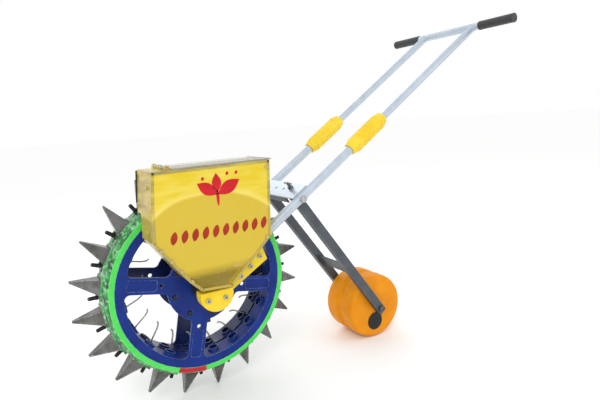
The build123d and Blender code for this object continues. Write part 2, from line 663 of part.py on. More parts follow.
# ---------------------------------------------------------------- tread band
with BuildPart() as tread_band:
    with BuildSketch(Plane(origin=(AXLE_X, 0, AXLE_Z), x_dir=(0, 1, 0), z_dir=(1, 0, 0))):
        with BuildLine():
            Polyline((-DRUM_HALF, LIP_R), (-DRUM_HALF, RIM_R))
            Spline((-DRUM_HALF, RIM_R), (-36.0, TREAD_R - 1.5), (0.0, TREAD_R), (36.0, TREAD_R - 1.5),
                   (DRUM_HALF, RIM_R))
            Polyline((DRUM_HALF, RIM_R), (DRUM_HALF, LIP_R), (DRUM_HALF - LIP_T, LIP_R),
                     (DRUM_HALF - LIP_T, TREAD_IN_R), (-DRUM_HALF + LIP_T, TREAD_IN_R),
                     (-DRUM_HALF + LIP_T, LIP_R), (-DRUM_HALF, LIP_R))
        make_face()
    revolve(axis=AXLE_LINE)
    collar = block(20.0, 52.0, 58.0, TREAD_R - 7.6, 13.0)
    add([turned_to(k, collar) for k in range(BEAKS)])
    pocket = (29.7 - BEAK_T0, (29.7 + BEAK_T0) / 2, BEAK_HALF + 0.1)
    hinge_slot = (12.0, 35.0, BEAK_HALF + 1.4)
    lever_slot = (14.0, 43.0, 7.0)
    for width, t, half in (pocket, hinge_slot, lever_slot):
        with BuildSketch(side_plane(half)):
            with PolarLocations(TREAD_R, BEAKS, BEAK_START):
                with Locations((0, t)):
                    Rectangle(40.0, width)
        extrude(amount=2 * half, mode=Mode.SUBTRACT)
save(tread_band.part, "tread_band")

JOINT_A0 = 247.5
JOINT_A1 = 266.0
with BuildPart() as rim_joints:
    for sign in SIDES.values():
        with BuildSketch(side_plane(sign * DRUM_HALF)):
            with BuildLine():
                CenterArc((0, 0), RIM_R - 0.5, JOINT_A0, JOINT_A1 - JOINT_A0)
                CenterArc((0, 0), LIP_R + 0.5, JOINT_A0, JOINT_A1 - JOINT_A0)
                for angle in (JOINT_A0, JOINT_A1):
                    Line(polar(LIP_R + 0.5, angle), polar(RIM_R - 0.5, angle))
            make_face()
        extrude(amount=-sign * 1.5)
save(rim_joints.part, "rim_joints")

# ---------------------------------------------------------------- seed drive
MODULE = 1.5
DRIVE_TEETH = 40
METER_TEETH = 20
GEAR_Y = -DRUM_HALF
GEAR_T = 5.5


def gear_face(teeth, phase):
    """Straight-flanked spur teeth with backlash on a root circle."""
    pitch_r = MODULE * teeth / 2
    step = 360.0 / teeth
    flanks = ((pitch_r - 1.5 * MODULE, 0.27), (pitch_r, 0.205), (pitch_r + 0.9 * MODULE, 0.11))
    with BuildSketch(Plane.XY, mode=Mode.PRIVATE) as gear:
        Circle(pitch_r - 1.25 * MODULE)
        for k in range(teeth):
            c = phase + k * step
            left = [polar(r, c + share * step) for r, share in flanks]
            right = [polar(r, c - share * step) for r, share in reversed(flanks)]
            Polygon(*(left + right), align=None)
    return gear.sketch


with BuildPart() as drive_gear:
    with BuildSketch(side_plane(GEAR_Y)):
        add(gear_face(DRIVE_TEETH, 0.0))
        Circle(FEED_R + 0.6, mode=Mode.SUBTRACT)
    extrude(amount=GEAR_T)
save(drive_gear.part, "drive_gear")

mesh_angle = 113.0
METER_AT = polar(45.2, mesh_angle)
mesh_phase = mesh_angle + 180.0
drive_step = 360.0 / DRIVE_TEETH
meter_step = 360.0 / METER_TEETH
mesh_share = (mesh_angle % drive_step) / drive_step
METER_PHASE = mesh_phase + meter_step * (0.5 + mesh_share)
SHAFT_R = 4.0
CELLS = 10
CELL_R = 4.5
with BuildPart() as metering_gear:
    with BuildSketch(side_plane(GEAR_Y - 0.4)):
        add(gear_face(METER_TEETH, METER_PHASE))
        Circle(SHAFT_R, mode=Mode.SUBTRACT)
    extrude(amount=GEAR_T - 0.8)
metering_gear_part = Pos(METER_AT[0], 0, METER_AT[1]) * metering_gear.part
save(metering_gear_part, "metering_gear")

ROLLER_Y0 = -136.0 + 4.5
ROLLER_Y1 = -68.5
with BuildPart() as metering_roller:
    add(across(*METER_AT, -138.5, -53.6, SHAFT_R))
    add(across(*METER_AT, ROLLER_Y0, ROLLER_Y1, METER_R))
    with BuildSketch(side_plane(-74.0)):
        with Locations(METER_AT):
            with PolarLocations(METER_R, CELLS):
                Circle(CELL_R)
    extrude(amount=9.0, mode=Mode.SUBTRACT)
save(metering_roller.part, "metering_roller")

# trough under the metering roller with a spout into the hub
TROUGH_IN = METER_R + 0.5
TROUGH_OUT = METER_R + 2.8
with BuildPart() as metering_housing:
    with BuildSketch(side_plane(-64.0)):
        with Locations(METER_AT):
            Circle(TROUGH_OUT)
            Circle(TROUGH_IN, mode=Mode.SUBTRACT)
        with Locations((METER_AT[0], METER_AT[1] + 2 * METER_R)):
            Rectangle(6 * METER_R, 3 * METER_R, mode=Mode.SUBTRACT)
    extrude(amount=76.0)
    for end_y in (-64.0, -136.0):
        with BuildSketch(side_plane(end_y)):
            with Locations(METER_AT):
                Circle(TROUGH_OUT)
                Circle(SHAFT_R + RUN, mode=Mode.SUBTRACT)
        extrude(amount=4.0)
    with BuildSketch(side_plane(-60.3)):
        with Locations((-9.0, 16.3)):
            Rectangle(16.0, 15.4)
    extrude(amount=29.7)
    with BuildSketch(side_plane(-60.0)):
        with Locations((-9.0, 17.6)):
            Rectangle(12.0, 14.0)
    extrude(amount=8.5, mode=Mode.SUBTRACT)
    with BuildSketch(side_plane(-68.0)):
        with Locations((-9.0, 20.6)):
            Rectangle(12.0, 20.0)
    extrude(amount=20.0, mode=Mode.SUBTRACT)
    add(across(*METER_AT, ROLLER_Y0 - 0.35, ROLLER_Y1 + 0.35, TROUGH_IN), mode=Mode.SUBTRACT)
save(metering_housing.part, "metering_housing")

# feed boss that carries the hopper side of the drum, with the drop tube inside the drum
DROP_Y = -27.0
DROP_TOP = -70.0
DROP_LONG = 34.0
with BuildPart() as feed_chute:
    with BuildSketch(side_plane(-40.2)):
        Circle(FEED_R)
        Circle(AXLE_R, mode=Mode.SUBTRACT)
        with Locations((-9.0, 15.0)):
            Circle(5.5, mode=Mode.SUBTRACT)
    extrude(amount=19.8)
    with BuildSketch(side_plane(-14.0)):
        Circle(FEED_R)
        with Locations((0, -40.0)):
            Rectangle(26.0, 60.0)
        Circle(AXLE_R, mode=Mode.SUBTRACT)
    extrude(amount=25.6)
    with BuildSketch(side_plane(-39.6)):
        Circle(FEED_R)
        Circle(AXLE_R, mode=Mode.SUBTRACT)
        with Locations((-9.0, 15.0)):
            Circle(5.5, mode=Mode.SUBTRACT)
    extrude(amount=0.6)
    with BuildSketch(side_plane(-16.5)):
        Circle(FEED_R - 2.5)
        with Locations((0, -40.0)):
            Rectangle(21.0, 70.0)
        Circle(AXLE_R + 2.5, mode=Mode.SUBTRACT)
    extrude(amount=21.2, mode=Mode.SUBTRACT)
    with BuildSketch(Plane(origin=at(0, DROP_Y, DROP_TOP), x_dir=(1, 0, 0), z_dir=(0, 0, -1))):
        Rectangle(26.0, 26.0)
        Rectangle(21.0, 21.0, mode=Mode.SUBTRACT)
    extrude(amount=DROP_LONG)
save(feed_chute.part, "feed_chute")

# ---------------------------------------------------------------- hopper
outline = [(-120.7, HOPPER_TOP), (-128.6, 219.8), (-133.0, 146.0), (-127.9, 136.3), (-63.6, 46.1),
           (-42.8, 24.7), (-36.3, 19.5), (36.1, 13.4), (41.8, 20.5), (144.9, 113.6), (155.7, HOPPER_TOP)]
TOP_STRIP_X = -84.0


with BuildSketch(Plane.XY) as hopper_face:
    with BuildLine():
        Polyline(*outline, close=True)
    make_face()
with BuildSketch(Plane.XY) as hopper_inner:
    with BuildLine():
        Polyline(*outline, close=True)
    make_face()
    offset(amount=-HOPPER_WALL, kind=Kind.INTERSECTION)

with BuildPart() as hopper_tub:
    with BuildSketch(side_plane(HOPPER_BACK)):
        add(hopper_face.sketch)
    extrude(amount=HOPPER_BACK - HOPPER_FRONT - PANEL_T)
    with BuildSketch(side_plane(HOPPER_UPPER_BACK)):
        add(hopper_face.sketch)
        Circle(ARCH_R, mode=Mode.SUBTRACT)
    extrude(amount=HOPPER_UPPER_BACK - HOPPER_BACK)
    with BuildSketch(side_plane(HOPPER_BACK - HOPPER_WALL)):
        add(hopper_inner.sketch)
    extrude(amount=60.0 + HOPPER_BACK - HOPPER_FRONT, mode=Mode.SUBTRACT)
    with BuildSketch(side_plane(HOPPER_UPPER_BACK - HOPPER_WALL)):
        add(hopper_inner.sketch)
        Circle(ARCH_R + HOPPER_WALL, mode=Mode.SUBTRACT)
    extrude(amount=HOPPER_UPPER_BACK - HOPPER_BACK + 20.0, mode=Mode.SUBTRACT)
    mouth_x0 = TOP_STRIP_X + 6.0
    mouth_x1 = 155.7 - HOPPER_WALL
    with BuildSketch(Plane(origin=at(0, 0, HOPPER_TOP + 1.0))):
        with Locations(((mouth_x0 + mouth_x1) / 2, (HOPPER_UPPER_BACK + HOPPER_FRONT + PANEL_T) / 2)):
            Rectangle(mouth_x1 - mouth_x0, HOPPER_UPPER_BACK - HOPPER_FRONT - PANEL_T - 2 * HOPPER_WALL)
    extrude(amount=-8.0, mode=Mode.SUBTRACT)
    with BuildSketch(side_plane(HOPPER_BACK + 1.0)):
        with Locations((-9.0, 16.3)):
            Rectangle(16.0, 15.4)
    extrude(amount=31.0, mode=Mode.SUBTRACT)
    with BuildSketch(side_plane(HOPPER_BACK + 1.0)):
        with Locations(METER_AT):
            Circle(SHAFT_R + 0.6)
    extrude(amount=6.0, mode=Mode.SUBTRACT)
    for y_knuckle in (-138.0, -90.0, -42.0):
        with BuildSketch(side_plane(y_knuckle + 5.0)):
            with Locations((TOP_STRIP_X, HOPPER_TOP + 5.0)):
                Circle(5.0)
                Rectangle(10.0, 6.0, align=(Align.CENTER, Align.MAX))
            with Locations((TOP_STRIP_X, HOPPER_TOP + 5.0)):
                Circle(2.5 + RUN, mode=Mode.SUBTRACT)
        extrude(amount=10.0)
save(hopper_tub.part, "hopper_tub")

with BuildPart() as hopper_panel:
    with BuildSketch(side_plane(HOPPER_FRONT + PANEL_T)):
        add(hopper_face.sketch)
    extrude(amount=PANEL_T)
    fillet(hopper_panel.edges().filter_by(Axis.Y), 1.5)
save(hopper_panel.part, "hopper_panel")

# bolts through the side wall and along the edges of the panel
side_bolts = [(0, 1, 0.45), (1, 2, 0.72)]
edge_bolts = [(-117.0, 128.0), (-98.0, 101.5), (-79.0, 75.0), (-58.0, 47.0), (135.0, 114.0), (146.0, 280.0)]
with BuildPart() as hopper_bolts:
    with BuildSketch(side_plane(HOPPER_FRONT)):
        with Locations(*edge_bolts):
            Circle(4.5)
    extrude(amount=3.5)
    for i, j, share in side_bolts:
        upper = Vector(outline[i][0], 0, outline[i][1])
        lower = Vector(outline[j][0], 0, outline[j][1])
        spot = upper + (lower - upper) * share
        wall_normal = (upper - lower).cross(Vector(0, 1, 0)).normalized()
        with BuildSketch(Plane(origin=at(spot.X, -121.0, spot.Z), x_dir=(0, 1, 0), z_dir=wall_normal)):
            Circle(4.5)
        extrude(amount=3.5)
save(hopper_bolts.part, "hopper_bolts")

LID_Z = HOPPER_TOP + 0.6
LID_T = 3.0
LID_X1 = 160.0
with BuildPart() as lid:
    with BuildSketch(Plane(origin=at(0, 0, LID_Z))):
        with Locations(((TOP_STRIP_X + 8.0 + LID_X1) / 2, (HOPPER_FRONT + HOPPER_UPPER_BACK) / 2)):
            Rectangle(LID_X1 - TOP_STRIP_X - 8.0, HOPPER_UPPER_BACK - HOPPER_FRONT + 4.0)
    extrude(amount=LID_T)
    add(across(TOP_STRIP_X, HOPPER_TOP + 5.0, -142.0, -38.0, 2.5))
    for y_mid in (-114.0, -66.0):
        with BuildSketch(side_plane(y_mid + 18.5)):
            with Locations((TOP_STRIP_X, HOPPER_TOP + 5.0)):
                Circle(4.6)
            with BuildLine():
                Polyline((TOP_STRIP_X, HOPPER_TOP + 0.6), (TOP_STRIP_X + 9.0, HOPPER_TOP + 0.6),
                         (TOP_STRIP_X + 9.0, HOPPER_TOP + 3.6), (TOP_STRIP_X, HOPPER_TOP + 9.0), close=True)
            make_face()
        extrude(amount=37.0)
save(lid.part, "lid")
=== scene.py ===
# %% [markdown]
# # Push seeder
# This walk-behind seeder rolls on a drum of steel beaks. Each beak pushes into the soil, its flap is
# tipped open, and a few seeds drop out of it. The engineering model already holds every part with its
# true size and its joints. This file only dresses that model: it gives each part its real material and
# adds the small things that are too fine for the engineering model, such as weld beads, screw recesses,
# grip ribs and the printed mark on the hopper.

import json
from math import atan2, cos, pi, sin

import bmesh
import bpy
from mathutils import Matrix, Vector


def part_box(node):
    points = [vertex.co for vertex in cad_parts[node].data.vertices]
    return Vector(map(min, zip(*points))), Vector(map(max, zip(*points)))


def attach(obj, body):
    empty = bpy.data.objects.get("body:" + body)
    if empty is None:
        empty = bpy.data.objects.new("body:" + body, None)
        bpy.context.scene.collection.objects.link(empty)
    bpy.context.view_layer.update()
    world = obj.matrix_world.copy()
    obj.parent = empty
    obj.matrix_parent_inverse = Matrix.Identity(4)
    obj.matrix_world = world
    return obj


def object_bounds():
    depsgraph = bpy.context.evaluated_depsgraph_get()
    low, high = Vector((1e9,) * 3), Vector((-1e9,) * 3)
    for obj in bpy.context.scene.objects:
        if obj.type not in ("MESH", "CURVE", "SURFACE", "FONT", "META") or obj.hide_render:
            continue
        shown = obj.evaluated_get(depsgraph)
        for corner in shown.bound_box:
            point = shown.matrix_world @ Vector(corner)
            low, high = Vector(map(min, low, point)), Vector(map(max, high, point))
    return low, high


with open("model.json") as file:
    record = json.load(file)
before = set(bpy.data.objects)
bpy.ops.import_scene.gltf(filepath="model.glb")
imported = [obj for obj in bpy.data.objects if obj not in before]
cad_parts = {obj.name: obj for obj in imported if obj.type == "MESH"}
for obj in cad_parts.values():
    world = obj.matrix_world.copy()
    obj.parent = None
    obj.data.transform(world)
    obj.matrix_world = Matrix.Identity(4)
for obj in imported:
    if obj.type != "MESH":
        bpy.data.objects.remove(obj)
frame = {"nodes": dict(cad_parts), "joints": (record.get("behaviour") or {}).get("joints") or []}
cad_low, cad_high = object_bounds()
nodes = frame["nodes"]
MM = 0.001
print("parts:", len(nodes), "size in mm:", [round(v / MM) for v in cad_high - cad_low])

# %% [markdown]
# ## Where things are
# Nothing below is placed by eye. The axle line comes from the axle's own box, and the handle tubes give
# the direction that the sleeves, welds and plugs follow. Reading places from the parts means that a
# change of size in the engineering model moves every detail with it.

# %% Landmarks read from the parts


def middle(node):
    """The middle of a part's box."""
    low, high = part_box(node)
    return (low + high) / 2


AXLE = middle("axle")
ROLLER = middle("roller_axle")
CROSSBAR = middle("crossbar")
PIVOT = middle("fork_pivots")
FLAPS = sorted(name for name in nodes if name.startswith("flap_"))
print("axle height", round(AXLE.z / MM), "roller height", round(ROLLER.z / MM), "flaps", len(FLAPS))

# %% [markdown]
# ## Colours and nodes
# A paint colour is usually known as an sRGB hex code, but the renderer works with linear light, so one
# function converts between them. A second small function adds any shader node together with its
# settings and its links. That keeps each material below short enough to read as a recipe.

# %% Two helpers for every material


def tint(code):
    """An sRGB hex code as linear red, green, blue and alpha."""
    channels = [int(code[i:i + 2], 16) / 255 for i in (0, 2, 4)]
    linear = [c / 12.92 if c <= 0.04045 else ((c + 0.055) / 1.055) ** 2.4 for c in channels]
    return (*linear, 1.0)


def put(tree, kind, settings=None, links=None):
    """Adds a shader node. A setting is an attribute of the node, or else one of its sockets."""
    made = tree.nodes.new("ShaderNode" + kind)
    for name, value in (settings or {}).items():
        if isinstance(name, str) and hasattr(made, name):
            setattr(made, name, value)
        else:
            made.inputs[name].default_value = value
    for name, source in (links or {}).items():
        tree.links.new(source, made.inputs[name])
    return made


print("pure red is", [round(c, 3) for c in tint("ff0000")])

# %% [markdown]
# ## Patterns that several materials share
# Real surfaces are never one flat value. Three patterns return a lot of realism here. A cloud is soft
# noise with a real size in millimetres, used for colour drift and for moulded grain. Rounding gives
# every sharp edge the small radius that a mould, a press or a coat of paint leaves, which is what
# catches a highlight. An edge mask gives those same edges a pale colour: on most parts it stands for
# wear from hands, soil and shipping, and on the beaks and the blue drum halves it is a painted highlight.

# %% Cloud, rounding, worn and highlit edges, and the common start of a material


def start(name, settings):
    """A new material with one Principled shader."""
    material = bpy.data.materials.new(name)
    material.use_nodes = True
    tree = material.node_tree
    tree.nodes.clear()
    shader = put(tree, "BsdfPrincipled", settings)
    put(tree, "OutputMaterial", links={"Surface": shader.outputs["BSDF"]})
    return material, tree, shader


def cloud(tree, size_mm, detail=3.0, stretch=(1, 1, 1), turn=(0, 0, 0)):
    """Soft noise whose grains are size_mm across, longer where stretch is more than 1."""
    place = put(tree, "TexCoord").outputs["Object"]
    spun = put(tree, "Mapping", {"vector_type": "TEXTURE", "Rotation": turn, "Scale": stretch},
               {"Vector": place})
    noise = put(tree, "TexNoise", {"Scale": 1 / (size_mm * MM), "Detail": detail, "Roughness": 0.55},
                {"Vector": spun.outputs["Vector"]})
    return noise.outputs["Fac"]


def spread(tree, source, low, high, start_at=0.3, end_at=0.7):
    """Takes the middle of a pattern's range to low..high."""
    return put(tree, "MapRange", {"From Min": start_at, "From Max": end_at, "To Min": low, "To Max": high},
               {"Value": source}).outputs["Result"]


def blend_colours(tree, share, first, second):
    """Mixes two colours, each a hex code or a socket, by a pattern."""
    mix = put(tree, "Mix", {"data_type": "RGBA"}, {0: share})
    for number, colour in ((6, first), (7, second)):
        if isinstance(colour, str):
            mix.inputs[number].default_value = tint(colour)
        else:
            tree.links.new(colour, mix.inputs[number])
    return mix.outputs[2]


def rounding(tree, radius_mm):
    """A normal that runs smoothly over every edge, as if it had this radius."""
    return put(tree, "Bevel", {"samples": 4, "Radius": radius_mm * MM}).outputs["Normal"]


# Edges get a pale colour from this mask: wear on most parts, a painted highlight on the beaks and the blue
# drum halves.
def worn_and_highlit_edge_mask(tree, normal, reach=0.12):
    """1 on the edges and 0 on the flats, broken up by a 6 mm cloud."""
    true_normal = put(tree, "NewGeometry").outputs["Normal"]
    cosine = put(tree, "VectorMath", {"operation": "DOT_PRODUCT"}, {0: normal, 1: true_normal})
    edge = put(tree, "MapRange", {"From Min": 1.0, "From Max": 1.0 - reach},
               {"Value": cosine.outputs["Value"]})
    broken = spread(tree, cloud(tree, 6.0, 4.0), 0.0, 1.0, 0.35, 0.6)
    return put(tree, "Math", {"operation": "MULTIPLY"}, {0: edge.outputs["Result"], 1: broken}).outputs[0]


def relief(tree, shader, height, depth_mm, normal):
    """Raises a pattern by up to depth_mm over a rounded normal."""
    bump = put(tree, "Bump", {"Strength": 1.0, "Distance": depth_mm * MM},
               {"Height": height, "Normal": normal})
    tree.links.new(bump.outputs["Normal"], shader.inputs["Normal"])


# %% [markdown]
# ## Bare and coated steel
# The handle is galvanised steel tube. Zinc dipped on drawn tube gives a pale blue-grey with faint long
# streaks and a soft, blurred reflection. The tube is already round, so it needs no rounded edges. The
# fork is rectangular tube under grey stoving enamel, which is duller and slightly uneven like orange
# peel. The screws on the hub bracket are bright zinc plate, while those on the drum have the black
# oxide that high-strength screws come with.

# %% Galvanised tube, bright zinc plate and grey enamel
TUBE_RUN = middle("upper_tube_left") - middle("lower_tube_left")
TUBE_TILT = atan2(TUBE_RUN.z, TUBE_RUN.x)
print("handle slope in degrees", round(TUBE_TILT * 180 / pi, 1))


def galvanised_drawn_tube():
    material, tree, shader = start("galvanised_drawn_tube", {"Metallic": 0.6})
    streak = cloud(tree, 5.0, 1.0, stretch=(60, 60, 1), turn=(0, -TUBE_TILT, 0))
    patch = spread(tree, cloud(tree, 28.0), 0.0, 1.0)
    pale = blend_colours(tree, patch, "b4c0cc", "c4ced8")
    tree.links.new(blend_colours(tree, spread(tree, streak, 0.0, 0.2), pale, "96a2b0"),
                   shader.inputs["Base Color"])
    tree.links.new(spread(tree, patch, 0.3, 0.38, 0.0, 1.0), shader.inputs["Roughness"])
    return material


def zinc_plate(name, dull, bright, worn_and_highlit_edge_colour):
    material, tree, shader = start(name, {"Metallic": 1.0})
    edge = rounding(tree, 0.8)
    worn_and_highlit_edges = worn_and_highlit_edge_mask(tree, edge)
    bloom = spread(tree, cloud(tree, 5.0, 4.0), 0.0, 1.0)
    plated = blend_colours(tree, bloom, dull, bright)
    tree.links.new(blend_colours(tree, worn_and_highlit_edges, plated, worn_and_highlit_edge_colour), shader.inputs["Base Color"])
    tree.links.new(spread(tree, bloom, 0.24, 0.42), shader.inputs["Roughness"])
    relief(tree, shader, cloud(tree, 1.2), 0.02, edge)
    return material


def grey_stoving_enamel():
    material, tree, shader = start("grey_stoving_enamel", {"Metallic": 0.3, "Specular IOR Level": 0.3})
    edge = rounding(tree, 1.6)
    worn_and_highlit_edges = worn_and_highlit_edge_mask(tree, edge)
    drift = spread(tree, cloud(tree, 40.0), 0.0, 1.0)
    coat = blend_colours(tree, drift, "484d53", "565b61")
    tree.links.new(blend_colours(tree, worn_and_highlit_edges, coat, "9ea3a8"), shader.inputs["Base Color"])
    tree.links.new(spread(tree, cloud(tree, 9.0), 0.36, 0.5), shader.inputs["Roughness"])
    relief(tree, shader, cloud(tree, 2.4, 2.0), 0.05, edge)
    return material


# %% [markdown]
# ## Beak steel
# The beaks are pressed from thin sheet and hardened, then used in soil. Pressing leaves the sheet grey,
# heat and dirt tint it brown, and the tips are polished by the ground. Two clouds of very different
# size give the brown blotches and the fine scratches, and the edge mask paints near-white rims, a
# painted highlight for the glints on the beak edges. The thin levers inside the drum are part of the
# same flaps but stay clean, so a mask by distance from the axle makes them paler.

# %% Pressed steel that has worked in soil


WIRE_REACH = 0.188


def pressed_beak_steel():
    material, tree, shader = start("pressed_beak_steel", {"Metallic": 0.9})
    edge = rounding(tree, 0.9)
    worn_and_highlit_edges = worn_and_highlit_edge_mask(tree, edge, 0.2)
    blotch = spread(tree, cloud(tree, 26.0, 4.0), 0.0, 1.0, 0.36, 0.68)
    scratch = cloud(tree, 1.4, 4.0, stretch=(5, 1, 5))
    sheet = blend_colours(tree, blotch, "747574", "575450")
    reach = put(tree, "VectorMath", {"operation": "DISTANCE", 1: AXLE},
                {0: put(tree, "TexCoord").outputs["Object"]}).outputs["Value"]
    wire = spread(tree, reach, 1.0, 0.0, WIRE_REACH - 2 * MM, WIRE_REACH + 2 * MM)
    inside = blend_colours(tree, wire, sheet, "b3b0a8")
    # The near-white edge colour f0f2f0 is a painted highlight for the glints on the beak edges.
    tree.links.new(blend_colours(tree, worn_and_highlit_edges, inside, "f0f2f0"), shader.inputs["Base Color"])
    tree.links.new(spread(tree, blotch, 0.2, 0.4, 0.0, 1.0), shader.inputs["Roughness"])
    relief(tree, shader, scratch, 0.015, edge)
    return material


# %% [markdown]
# ## Moulded plastics
# The drum halves, the tread, the sleeves and the roller are moulded plastic, each with its own pigment
# and process. Injection moulding leaves a glossy skin with gentle sink marks, so a wide cloud bends the
# reflection a little. Blow moulding, as on the hollow rear roller, gives a duller skin with a faint
# orange peel. One recipe takes these as numbers, because only the numbers differ.

# %% Injection-moulded and blow-moulded skins


def moulded(name, dark, light, worn_and_highlit_edge_colour, gloss, grain_mm, grain_depth_mm, edge_mm=1.2, shine=0.25):
    """Coloured plastic: two shades that drift, pale edges that are wear on most parts and a painted highlight
    on the blue drum, and a moulded grain.
    """
    material, tree, shader = start(name, {"IOR": 1.5, "Specular IOR Level": shine})
    edge = rounding(tree, edge_mm)
    worn_and_highlit_edges = worn_and_highlit_edge_mask(tree, edge)
    drift = spread(tree, cloud(tree, 45.0, 4.0), 0.0, 1.0)
    pigment = blend_colours(tree, drift, dark, light)
    tree.links.new(blend_colours(tree, worn_and_highlit_edges, pigment, worn_and_highlit_edge_colour), shader.inputs["Base Color"])
    tree.links.new(spread(tree, cloud(tree, 12.0, 4.0), gloss, gloss + 0.12), shader.inputs["Roughness"])
    relief(tree, shader, cloud(tree, grain_mm, 2.0), grain_depth_mm, edge)
    return material


# %% [markdown]
# ## The tread
# The tread is one green moulding, but it wears two faces. The narrow ring on each side is plain bright
# green. The crown is darker, with dark mottles, and its pale mottles are painted highlights of the
# glossy tread. A mask by distance from the middle plane tells the ring from the crown.

# %% Green tread with a bright ring and a mottled crown with painted highlights
DRUM_HALF_WIDTH = (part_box("tread_band")[1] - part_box("tread_band")[0]).y / 2


def green_tread():
    material, tree, shader = start("green_polyethylene_tread", {"IOR": 1.5, "Specular IOR Level": 0.35})
    edge = rounding(tree, 2.0)
    worn_and_highlit_edges = worn_and_highlit_edge_mask(tree, edge)
    across = put(tree, "SeparateXYZ", links={"Vector": put(tree, "TexCoord").outputs["Object"]}).outputs["Y"]
    distance = put(tree, "Math", {"operation": "ABSOLUTE"}, {0: across}).outputs[0]
    ring = spread(tree, distance, 0.0, 1.0, DRUM_HALF_WIDTH - 1.2 * MM, DRUM_HALF_WIDTH - 0.6 * MM)
    ring_green = blend_colours(tree, spread(tree, cloud(tree, 40.0), 0.0, 1.0), "3ccb4b", "50d85c")
    # The pale mottles on the crown are painted highlights. The dark mottles only make it darker in patches.
    painted_highlight_mottle = spread(tree, cloud(tree, 9.0, 6.0), 0.0, 1.0, 0.5, 0.72)
    dark_mottle = spread(tree, cloud(tree, 22.0, 5.0), 0.0, 1.0, 0.4, 0.6)
    crown = blend_colours(tree, painted_highlight_mottle, blend_colours(tree, dark_mottle, "2f9448", "27472f"), "a3dfae")
    both = blend_colours(tree, ring, crown, ring_green)
    tree.links.new(blend_colours(tree, worn_and_highlit_edges, both, "b4f0ae"), shader.inputs["Base Color"])
    tree.links.new(spread(tree, dark_mottle, 0.2, 0.42, 0.0, 1.0), shader.inputs["Roughness"])
    relief(tree, shader, cloud(tree, 6.0, 3.0), 0.12, edge)
    return material


# %% [markdown]
# ## Rubber and the see-through sheets
# The grips are soft black rubber: dark, rough, with a little sheen where light grazes it. The hopper is
# bent from yellow polycarbonate sheet. It lets a little of the inside show, so its alpha is just below
# 1, and it is far clearer at the foot, where the metering roller shows. The part above the drum is
# painted brighter and wavy, with a soft bright crest where the drum's curve begins: painted light and
# painted highlights for the light that comes through the sheet. A mask by distance from the axle parts
# the two. The lid is clear sheet gone a bit smoky.

# %% Grip rubber, yellow polycarbonate and clear sheet


def ribbed_black_rubber():
    material, tree, shader = start("ribbed_black_rubber", {"IOR": 1.52, "Sheen Weight": 0.25,
                                                           "Sheen Roughness": 0.4})
    edge = rounding(tree, 0.8)
    dust = spread(tree, cloud(tree, 9.0, 5.0), 0.0, 1.0, 0.4, 0.7)
    tree.links.new(blend_colours(tree, dust, "232428", "34353a"), shader.inputs["Base Color"])
    tree.links.new(spread(tree, dust, 0.55, 0.75, 0.0, 1.0), shader.inputs["Roughness"])
    relief(tree, shader, cloud(tree, 1.0, 2.0), 0.08, edge)
    return material


POCKET_RADIUS = 0.2385
FOOT_CLEAR = AXLE.z + 50 * MM
FOOT_SOLID = AXLE.z + 74 * MM


def yellow_polycarbonate_sheet(name, pale, deep, clear, solid):
    """Bent translucent sheet: painted light with wavy painted highlights outside the drum's radius, plain
    inside, clear at the foot.
    """
    material, tree, shader = start(name, {"IOR": 1.58, "Specular IOR Level": 0.3})
    edge = rounding(tree, 1.2)
    place = put(tree, "TexCoord").outputs["Object"]
    level = put(tree, "VectorMath", {"operation": "MULTIPLY", 1: (1.0, 0.0, 1.0)},
                {0: place}).outputs["Vector"]
    reach = put(tree, "VectorMath", {"operation": "DISTANCE", 1: (AXLE.x, 0.0, AXLE.z)},
                {0: level}).outputs["Value"]
    bend = put(tree, "TexNoise", {"Scale": 9.0, "Detail": 1.0}, {"Vector": level}).outputs["Fac"]
    warped = put(tree, "Math", {"operation": "MULTIPLY_ADD", 1: 0.02, 2: -0.01}, {0: bend}).outputs[0]
    ring = put(tree, "Math", {"operation": "ADD"}, {0: reach, 1: warped}).outputs[0]
    pocket = spread(tree, ring, 0.0, 1.0, POCKET_RADIUS - 4 * MM, POCKET_RADIUS + 2 * MM)
    # The wave pattern and the crest paint light and highlights on the part above the drum.
    wave = cloud(tree, 22.0, 2.0, stretch=(4.5, 4.5, 1.0))
    ridge_highlight = spread(tree, ring, 0.8, 0.0, POCKET_RADIUS + 3 * MM, POCKET_RADIUS + 16 * MM)
    lit = blend_colours(tree, spread(tree, wave, 0.0, 1.0, 0.4, 0.72), deep, "e6d35c")
    below = blend_colours(tree, spread(tree, cloud(tree, 60.0), 0.0, 1.0), pale, "d0b43a")
    painted_light_above = blend_colours(tree, ridge_highlight, lit, "ead46a")
    tree.links.new(blend_colours(tree, pocket, below, painted_light_above), shader.inputs["Base Color"])
    height = put(tree, "SeparateXYZ", links={"Vector": place}).outputs["Z"]
    foot = spread(tree, height, clear, solid, FOOT_CLEAR, FOOT_SOLID)
    tree.links.new(foot, shader.inputs["Alpha"])
    tree.links.new(spread(tree, cloud(tree, 20.0, 4.0), 0.16, 0.28), shader.inputs["Roughness"])
    relief(tree, shader, cloud(tree, 80.0, 2.0, stretch=(3.0, 1.0, 1.0)), 5.0, edge)
    return material


def clear_smoky_sheet():
    material, tree, shader = start("clear_smoky_sheet", {"IOR": 1.49, "Alpha": 0.42, "Coat Weight": 0.6,
                                                         "Coat Roughness": 0.05})
    edge = rounding(tree, 0.8)
    smoke = spread(tree, cloud(tree, 35.0, 4.0), 0.0, 1.0)
    tree.links.new(blend_colours(tree, smoke, "b9b79c", "d4d2bb"), shader.inputs["Base Color"])
    tree.links.new(spread(tree, smoke, 0.12, 0.26, 0.0, 1.0), shader.inputs["Roughness"])
    relief(tree, shader, cloud(tree, 3.0), 0.05, edge)
    return material


# %% [markdown]
# ## Give every part its finish
# The record names a material slot for each part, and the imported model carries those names. A table from
# slot to finish is then enough: a loop walks over the parts and swaps each plain material for the right
# recipe. The shapes stay exactly as the engineering model has them.

